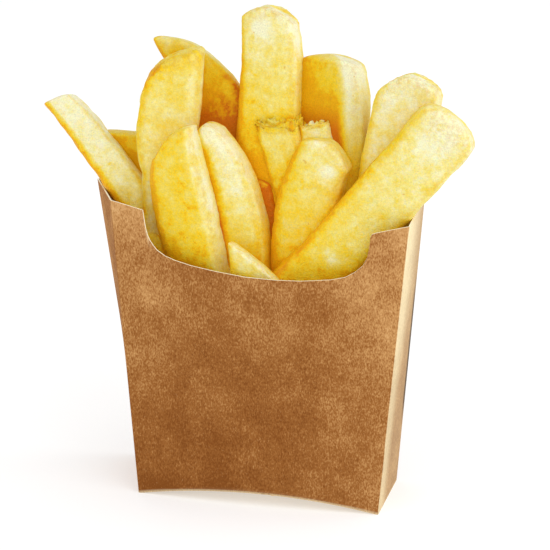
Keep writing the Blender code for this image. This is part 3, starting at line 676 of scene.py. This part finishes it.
def make_carton(mats):
    """The folded card: an open sliced box in the carton's form, with rounded folds and a wall."""
    even = [k / 8.0 for k in range(-7, 8)]
    rows = [-0.99, -0.975, -0.95] + [-1.0 + 2.0 * k / 24.0 for k in range(1, 24)]
    depths = sorted(even[::2] + [-0.97, -0.92, -0.85, 0.68, 0.84, 0.92])
    bm = slice_box((across_cuts(), depths, rows))
    lid = [f for f in bm.faces if f.normal.z > 0.9]
    bmesh.ops.delete(bm, geom=lid, context="FACES")
    for vert in bm.verts:
        across, deep, high = vert.co
        point = shell_point(across, deep, (high + 1.0) / 2.0, scooped=True)
        ripple = noise.noise(point * RIPPLE_SCALE) * RIPPLE_HEIGHT
        if abs(deep) > -FRONT_DEEP and abs(across) < 0.95:
            point.y += ripple * (1.0 - abs(across))
        vert.co = place(point)
    bmesh.ops.recalc_face_normals(bm, faces=bm.faces[:])
    mesh = bpy.data.meshes.new("carton_card")
    bm.to_mesh(mesh)
    bm.free()
    shell = link("carton_shell", mesh, mats)
    folds = shell.modifiers.new("folds", "BEVEL")
    folds.width = FOLD_RADIUS * MM
    folds.segments = FOLD_SEGMENTS
    folds.limit_method = "ANGLE"
    folds.angle_limit = math.radians(FOLD_ANGLE)
    card = shell.modifiers.new("card", "SOLIDIFY")
    card.thickness = CARD * MM
    card.offset = -1.0
    card.use_quality_normals = True
    card.material_offset = 1
    card.material_offset_rim = 2
    done = bpy.data.meshes.new_from_object(shell.evaluated_get(bpy.context.evaluated_depsgraph_get()))
    bpy.data.objects.remove(shell, do_unlink=True)
    done.name = "carton_card"
    painters = {"wear_and_highlight": card_wear_and_highlight, "painted_light": card_painted_light, "fold_shadow": card_fold_shadow}
    layers = {name: done.attributes.new(name, "FLOAT", "POINT").name for name in painters}
    for index, vert in enumerate(done.vertices):
        p = vert.co / MM
        point = Vector((p.x - SHIFT_X, p.y - SHIFT_Y, p.z + FOLD_LIFT))
        for name, layer in layers.items():
            done.attributes[layer].data[index].value = painters[name](point, vert.normal)
    done.shade_smooth()
    done.set_sharp_from_angle(angle=math.radians(SHARP_ANGLE))
    return link("carton_card", done, [])


def spine_at(fry, t):
    """Point and direction of the fry's spine; t is 0 at the foot, 1 at the tip, and less below the lip."""
    foot = Vector(fry["foot"])
    middle = Vector(fry["middle"])
    tip = Vector(fry["tip"])
    bend = 2.0 * foot - 4.0 * middle + 2.0 * tip
    slope = 4.0 * middle - 3.0 * foot - tip
    point = foot + slope * t if t < 0.0 else foot + slope * t + bend * t * t
    return point, (slope + 2.0 * bend * max(t, 0.0)).normalized()


def quadratic(values, t):
    """A smooth run through three values, at 0, 0.5 and 1."""
    a, b, c = values
    s = max(t, 0.0)
    return a + (4.0 * b - 3.0 * a - c) * s + (2.0 * a - 4.0 * b + 2.0 * c) * s * s


def tent(x, peak):
    """1 at the peak, falling in straight lines to 0 at -1 and 1."""
    reach = 1.0 + peak if x < peak else 1.0 - peak
    return max(1.0 - abs(x - peak) / reach, 0.0)


def fry_vertex(fry, t, size, wide, deep):
    """Point of the fry's skin; wide runs left to right, deep from back to front."""
    point, along = spine_at(fry, t)
    ahead = Vector((0.0, -1.0, 0.0))
    face = (ahead - along * ahead.dot(along)).normalized()
    side = along.cross(face)
    turn = math.radians(fry["turn"])
    right = side * math.cos(turn) + face * math.sin(turn)
    front = face * math.cos(turn) - side * math.sin(turn)
    half_width = quadratic(fry["widths"], min(t, 1.0)) / 2.0
    half_thick = mix(fry["thick"][0], fry["thick"][1], clamp(t)) / 2.0
    late = clamp((t - LATE_START) / (1.0 - LATE_START))
    drop = fry["drops"][0 if wide < 0.0 else 1] * wide * wide
    lift = (fry["slant"] * wide - drop) * size * late * late
    peak, height = fry["ridge"]
    bulge = height * tent(wide, peak) * max(deep, 0.0)
    point = point + right * (half_width * wide * size)
    point = point + front * ((half_thick * deep + bulge) * size)
    return point + along * lift


def ring_at(fry, v):
    """Spine position and size of the ring at v, from 0 at the foot to 1 at the tip."""
    length = (Vector(fry["tip"]) - Vector(fry["foot"])).length
    cap = fry["cap"] / length
    start = -fry["root"] / length
    shoulder = 1.0 - cap * 0.3
    if v < FOOT_SHARE:
        q = 1.0 - v / FOOT_SHARE
        return start - 0.02 * q, (1.0 - q ** FOOT_POWER) ** (1.0 / FOOT_POWER)
    if v < 1.0 - CAP_SHARE:
        return mix(start, shoulder, (v - FOOT_SHARE) / SIDE_SHARE), 1.0
    q = (v - (1.0 - CAP_SHARE)) / CAP_SHARE
    q = math.sin(q * math.pi / 2.0)
    return shoulder + cap * 1.05 * q, max(1.0 - q ** TIP_POWER, 0.0) ** (1.0 / TIP_POWER)


def section(angle):
    """Point of the rounded square that the fry is cut to."""
    c = math.cos(angle)
    s = math.sin(angle)
    power = 2.0 / SECTION_POWER
    return math.copysign(abs(c) ** power, c), math.copysign(abs(s) ** power, s)


def tip_rim(t, size):
    """1 where the end of the fry turns over, 0 on its sides and on its flat end."""
    return smooth(0.86, 1.0, t) * smooth(0.3, 0.8, size) * (1.0 if size < 0.9995 else 0.6)


def add_fry(bm, index, name, layers):
    """One fry: a grid that is rolled round the spine, lumped, and painted layer by layer."""
    fry = FRIES[name]
    ragged = RAGGED.get(name, 0.0)
    fade = FADES.get(name, TIP_PALER)
    start, facet = FACET_LIGHT_AND_SHADE.get(name, (1.0, 0.0))
    long = (Vector(fry["tip"]) - Vector(fry["foot"])).length
    made = bmesh.ops.create_grid(bm, x_segments=FRY_ROUND, y_segments=FRY_LONG, size=1.0)
    seed = Vector((index * 7.31, index * 3.17, index * 5.77))
    for vert in made["verts"]:
        angle = vert.co.x * math.pi
        t, size = ring_at(fry, (vert.co.y + 1.0) / 2.0)
        wide, deep = section(angle)
        point = fry_vertex(fry, t, size, wide, deep)
        spine, _ = spine_at(fry, t)
        out = point - spine
        if out.length > 1e-6:
            out.normalize()
        push = sum(noise.noise(point * scale + seed) * height for scale, height in LUMPS)
        point = point + out * push * min(size * 1.4, 1.0)
        rim = tip_rim(t, size)
        if ragged > 0.0:
            crumb = sum(noise.noise(point * scale + seed) * height for scale, height in CRUMBS)
            end = smooth(0.86, 1.0, t)
            point = point + (out * (CRUMB_OUT * rim) + Vector((0.0, 0.0, CRUMB_UP * end))) * (crumb * ragged)
        vert.co = place(point)
        corner = 1.0 - smooth(0.02, 0.30, abs(abs(wide) - abs(deep)))
        vert[layers["crisp"]] = max(rim * (0.35 + 0.65 * min(ragged, 1.0)), 0.42 * corner)
        # painted shade for the fries at the back, strongest low down
        vert[layers["painted_back_shade"]] = BACK_SHADE_FRIES.get(name, 0.0) * (1.0 - 0.6 * clamp(t))
        tone = fry["tone"] + fade * (0.5 - clamp(t))
        tone = mix(tone, HIDDEN_TONE, smooth(0.1, -0.5, deep)) + EDGE_GOLD * corner
        tone += RIM_GOLD * rim * min(ragged, 1.0)
        past = (wide - start) * math.copysign(1.0, start)
        # painted light and shade: side facets facing the light are paler, those turned away more golden
        tone += facet * smooth(-0.10, 0.14, past) * smooth(-0.5, 0.2, deep)
        for along, across, radius, change in SPOTS.get(name, ()):
            away = math.hypot((t - along) * long, (wide - across) * fry["widths"][1] / 2.0)
            tone += change * (1.0 - smooth(0.3, 1.0, away / radius)) * smooth(0.2, 0.8, deep)
        vert[layers["tone"]] = tone


def hemisphere(count):
    """Directions spread evenly over the half of the view above a face."""
    rays = []
    golden = math.pi * (3.0 - math.sqrt(5.0))
    for k in range(count):
        radius = math.sqrt((k + 0.5) / count)
        angle = golden * k
        rays.append((radius * math.cos(angle), radius * math.sin(angle), math.sqrt(1.0 - radius * radius)))
    return rays


def paint_fries(bm, layers, tree):
    """Painted shade, as golden colour on faces turned from the lit side, and how shut in each point is."""
    rays = hemisphere(SHADE_RAYS)
    pale = Vector(LIT_DIRECTION).normalized()
    bm.normal_update()
    for vert in bm.verts:
        normal = vert.normal
        # painted shade: faces turned from the light are painted golden
        turned = smooth(0.75, -0.40, normal.dot(pale)) * (1.0 - 0.8 * smooth(0.0, 0.7, normal.y))
        turned *= 1.0 - 0.35 * smooth(0.75, 1.0, -normal.x)
        vert[layers["painted_side_shade"]] = turned - SIDE_SHADE_OFFSET
        side = normal.orthogonal().normalized()
        other = normal.cross(side)
        start = vert.co + normal * SHADE_LIFT
        shut = 0.0
        for x, y, z in rays:
            hit = tree.ray_cast(start, side * x + other * y + normal * z, SHADE_REACH)
            if hit[0] is not None:
                shut += 1.0 - hit[3] / SHADE_REACH * 0.8
        vert[layers["shade"]] = shut / len(rays)
    shade = layers["shade"]
    for _ in range(SHADE_ROUNDS):
        values = {}
        for vert in bm.verts:
            around = [edge.other_vert(vert)[shade] for edge in vert.link_edges]
            values[vert] = 0.5 * vert[shade] + 0.5 * sum(around) / max(len(around), 1)
        for vert, value in values.items():
            vert[shade] = value


def make_core(mat):
    """The fries hidden inside: a lumpy block just inside the card."""
    cuts = [k / 12.0 for k in range(-11, 12)]
    bm = slice_box((cuts, cuts[1::4], (0.0,)))
    for vert in bm.verts:
        across, deep, high = vert.co
        z = mix(CORE_BOTTOM, CORE_TOP, (high + 1.0) / 2.0)
        wall = shell_point(across, deep, z / FRONT_LEFT_HEIGHT)
        inset = CARD + CORE_GAP
        half = max(abs(wall.x), 1.0)
        if high > 0.9:
            z += noise.noise(Vector((across * 6.0, deep * 3.0, 0.3))) * CORE_LUMPS
        vert.co = place((wall.x * (half - inset) / half, wall.y - deep * inset, z))
    for name, value in CORE_LAYERS:
        layer = bm.verts.layers.float.new(name)
        for vert in bm.verts:
            vert[layer] = value
    mesh = bpy.data.meshes.new("fries_core")
    bm.to_mesh(mesh)
    bm.free()
    mesh.shade_smooth()
    mesh.set_sharp_from_angle(angle=math.radians(50.0))
    return link("fries_core", mesh, [mat])


def make_fries(mat, carton, core):
    """All the fries as one piece, painted with what stands round them."""
    bm = bmesh.new()
    layers = {name: bm.verts.layers.float.new(name) for name in LAYERS}
    for index, name in enumerate(FRIES):
        add_fry(bm, index, name, layers)
    bmesh.ops.remove_doubles(bm, verts=bm.verts[:], dist=MERGE_DISTANCE)
    bmesh.ops.recalc_face_normals(bm, faces=bm.faces[:])
    walls = bm.copy()
    for obj in (carton, core):
        walls.from_mesh(obj.data)
    tree = BVHTree.FromBMesh(walls)
    walls.free()
    paint_fries(bm, layers, tree)
    mesh = bpy.data.meshes.new("standing_fries")
    bm.to_mesh(mesh)
    bm.free()
    mesh.shade_smooth()
    return link("standing_fries", mesh, [mat])


def aim(obj, azimuth, elevation, distance, target):
    """Puts a camera or a light at the given angles and distance from the target, facing it."""
    a = math.radians(azimuth)
    e = math.radians(elevation)
    back = Vector((math.sin(a) * math.cos(e), -math.cos(a) * math.cos(e), math.sin(e)))
    right = Vector((math.cos(a), math.sin(a), 0.0))
    up = back.cross(right)
    turn = Matrix((right, up, back)).transposed().to_4x4()
    obj.matrix_world = Matrix.Translation(target + back * distance) @ turn


def make_camera():
    data = bpy.data.cameras.new("camera")
    data.lens = CAMERA_LENS
    data.sensor_width = SENSOR_WIDTH
    data.clip_start = 0.01
    data.dof.use_dof = False
    camera = bpy.data.objects.new("camera", data)
    bpy.context.scene.collection.objects.link(camera)
    aim(camera, CAMERA_AZIMUTH, CAMERA_ELEVATION, CAMERA_DISTANCE, place(CAMERA_TARGET))
    bpy.context.scene.camera = camera


def area_light(name, azimuth, elevation, distance, size, power):
    data = bpy.data.lights.new(name, "AREA")
    data.shape = "DISK"
    data.size = size
    data.energy = power
    lamp = bpy.data.objects.new(name, data)
    bpy.context.scene.collection.objects.link(lamp)
    aim(lamp, azimuth, elevation, distance, Vector(LIGHT_TARGET))


def make_stage():
    """White surroundings, a plain pale floor and three soft lights."""
    world = bpy.data.worlds.new("studio")
    world.use_nodes = True
    sky = world.node_tree.nodes["Background"]
    sky.inputs["Color"].default_value = (1.0, 1.0, 1.0, 1.0)
    sky.inputs["Strength"].default_value = SKY_STRENGTH
    bpy.context.scene.world = world
    bm = bmesh.new()
    bmesh.ops.create_grid(bm, x_segments=2, y_segments=2, size=FLOOR_HALF)
    mesh = bpy.data.meshes.new("floor")
    bm.to_mesh(mesh)
    bm.free()
    mat, _, shader, _ = new_material("floor_white")
    shader.inputs["Base Color"].default_value = FLOOR_WHITE
    shader.inputs["Roughness"].default_value = 0.9
    shader.inputs["Specular IOR Level"].default_value = 0.1
    shader.inputs["Emission Color"].default_value = (1.0, 1.0, 1.0, 1.0)
    shader.inputs["Emission Strength"].default_value = FLOOR_GLOW
    floor = link("floor", mesh, [mat])
    for light in LIGHTS:
        area_light(*light)
    bpy.context.scene.view_settings.view_transform = "Standard"


def main():
    fibres = card_fibre_group()
    outside = kraft_material("kraft_outside", fibres, OUTSIDE_GRAIN, *KRAFT_OUTSIDE)
    inside = kraft_material("kraft_inside", fibres, INSIDE_GRAIN, *KRAFT_INSIDE)
    carton = make_carton([outside, inside, cut_edge_material()])
    potato = potato_material()
    core = make_core(potato)
    fries = make_fries(potato, carton, core)
    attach(carton, "root")
    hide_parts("carton")
    for piece in (core, fries):
        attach(piece, "root")
        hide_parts("fries")
    make_stage()
    make_camera()


main()
